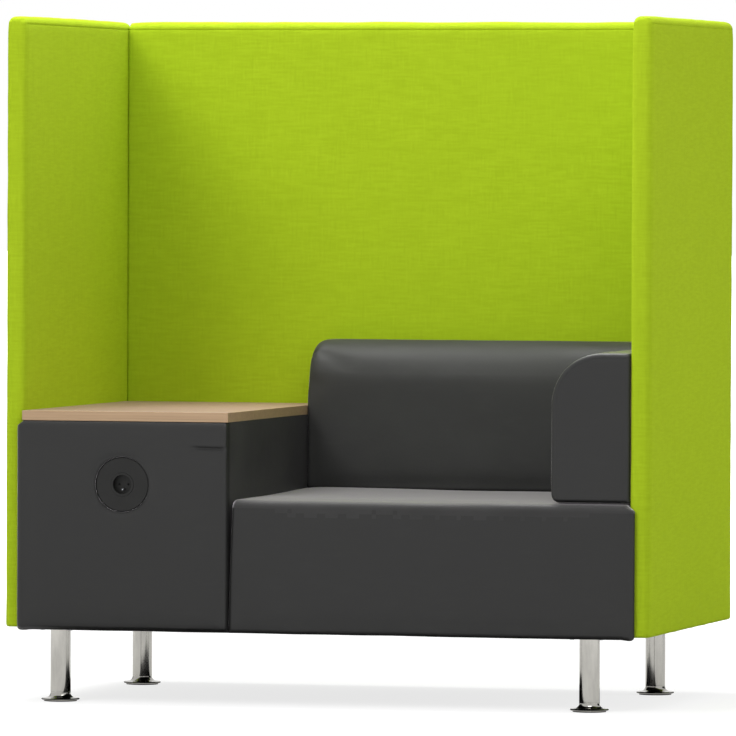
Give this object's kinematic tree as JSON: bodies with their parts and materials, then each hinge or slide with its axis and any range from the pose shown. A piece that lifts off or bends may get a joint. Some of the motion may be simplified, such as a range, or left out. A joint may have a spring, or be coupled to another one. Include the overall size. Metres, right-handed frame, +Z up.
{
  "type": "acoustic high back lounge chair",
  "caption": "High-back lounge seat in padded acoustic panels, with a side table on an upholstered pedestal, a built-in power socket, an armrest and levelling tube legs.",
  "frame": {"origin": "on the floor under the middle of the whole object's box", "axes": "+Z up; the seat faces -Y; +X points to the armrest's side, the viewer's right in the picture"},
  "size_m": [1.364, 0.802, 1.417],
  "materials": {
    "lime_fabric": "woven wool felt cover over thin padding",
    "leatherette": "fine-grained anthracite upholstery cover over thin padding",
    "bare_board": "unfinished plywood",
    "stained_board": "plywood stained black",
    "table_laminate": "matt pale wood laminate",
    "table_edging": "matt wood edge band",
    "chrome": "polished",
    "steel": "zinc plated",
    "brass": "bare",
    "socket_plastic": "matt dark grey",
    "foam": "open-cell upholstery foam",
    "webbing": "elastic strap",
    "lead_sheath": "matt",
    "glide_plastic": "matt"
  },
  "bodies": {
    "root": {"left_panel_board": "bare_board", "left_panel_cover": "lime_fabric", "right_panel_board": "bare_board", "right_panel_cover": "lime_fabric", "back_panel_board": "bare_board", "back_panel_cover": "lime_fabric", "corner_dowels": "bare_board", "base_board": "stained_board", "rear_rail": "bare_board", "pedestal_left_board": "bare_board", "pedestal_right_board": "bare_board", "pedestal_front_board": "bare_board", "pedestal_cover": "leatherette", "table_battens": "bare_board", "table_top": "table_laminate", "table_edge_band": "table_edging", "socket_bezel": "socket_plastic", "socket_insert": "socket_plastic", "socket_body": "socket_plastic", "earth_pin": "steel", "line_contacts": "brass", "shutter_springs": "steel", "mounting_ring": "steel", "ring_screws": "steel", "back_box": "socket_plastic", "supply_lead": "lead_sheath", "lead_clips": "glide_plastic", "power_inlet": "socket_plastic", "seat_left_board": "bare_board", "seat_right_board": "bare_board", "seat_front_board": "bare_board", "seat_webbing": "webbing", "seat_foam": "foam", "seat_cover": "leatherette", "backrest_board": "bare_board", "backrest_foam": "foam", "backrest_cover": "leatherette", "armrest_board": "bare_board", "armrest_foam": "foam", "armrest_cover": "leatherette", "support_bars": "steel", "bar_bolts": "steel", "frame_bolts": "steel", "panel_inserts": "brass", "frame_screws": "steel", "leg_screws": "steel", "leg_front_left": "chrome", "leg_rear_left": "chrome", "leg_front_right": "chrome", "leg_rear_right": "chrome"},
    "shutter": {"socket_shutter": "socket_plastic"},
    "glide_front_left": {"glide_front_left": "glide_plastic"},
    "foot_front_left": {"foot_front_left": "chrome"},
    "glide_rear_left": {"glide_rear_left": "glide_plastic"},
    "foot_rear_left": {"foot_rear_left": "chrome"},
    "glide_front_right": {"glide_front_right": "glide_plastic"},
    "foot_front_right": {"foot_front_right": "chrome"},
    "glide_rear_right": {"glide_rear_right": "glide_plastic"},
    "foot_rear_right": {"foot_rear_right": "chrome"}
  },
  "joints": [
    {"name": "shutter_slide", "type": "slide", "parent": "root", "child": "shutter", "axis": [0, 0, -1], "range_m": [0, 0.0055], "stiffness_N_per_m": 150, "springref_m": -0.002, "deforming": ["shutter_springs"]},
    {"name": "height_front_left", "type": "slide", "parent": "root", "child": "glide_front_left", "axis": [0, 0, -1], "range_m": [0, 0.015]},
    {"name": "turn_front_left", "type": "hinge", "parent": "glide_front_left", "child": "foot_front_left", "pos_m": [-0.58, -0.322, 0.01], "axis": [0, 0, -1], "range_deg": [0, 3600]},
    {"name": "height_rear_left", "type": "slide", "parent": "root", "child": "glide_rear_left", "axis": [0, 0, -1], "range_m": [0, 0.015]},
    {"name": "turn_rear_left", "type": "hinge", "parent": "glide_rear_left", "child": "foot_rear_left", "pos_m": [-0.58, 0.283, 0.01], "axis": [0, 0, -1], "range_deg": [0, 3600]},
    {"name": "height_front_right", "type": "slide", "parent": "root", "child": "glide_front_right", "axis": [0, 0, -1], "range_m": [0, 0.015]},
    {"name": "turn_front_right", "type": "hinge", "parent": "glide_front_right", "child": "foot_front_right", "pos_m": [0.545, -0.322, 0.01], "axis": [0, 0, -1], "range_deg": [0, 3600]},
    {"name": "height_rear_right", "type": "slide", "parent": "root", "child": "glide_rear_right", "axis": [0, 0, -1], "range_m": [0, 0.015]},
    {"name": "turn_rear_right", "type": "hinge", "parent": "glide_rear_right", "child": "foot_rear_right", "pos_m": [0.545, 0.283, 0.01], "axis": [0, 0, -1], "range_deg": [0, 3600]}
  ],
  "couplings": [
    {"joint": "height_front_left", "follows": "turn_front_left", "m_per_rad": 0.0002387},
    {"joint": "height_rear_left", "follows": "turn_rear_left", "m_per_rad": 0.0002387},
    {"joint": "height_front_right", "follows": "turn_front_right", "m_per_rad": 0.0002387},
    {"joint": "height_rear_right", "follows": "turn_rear_right", "m_per_rad": 0.0002387}
  ]
}
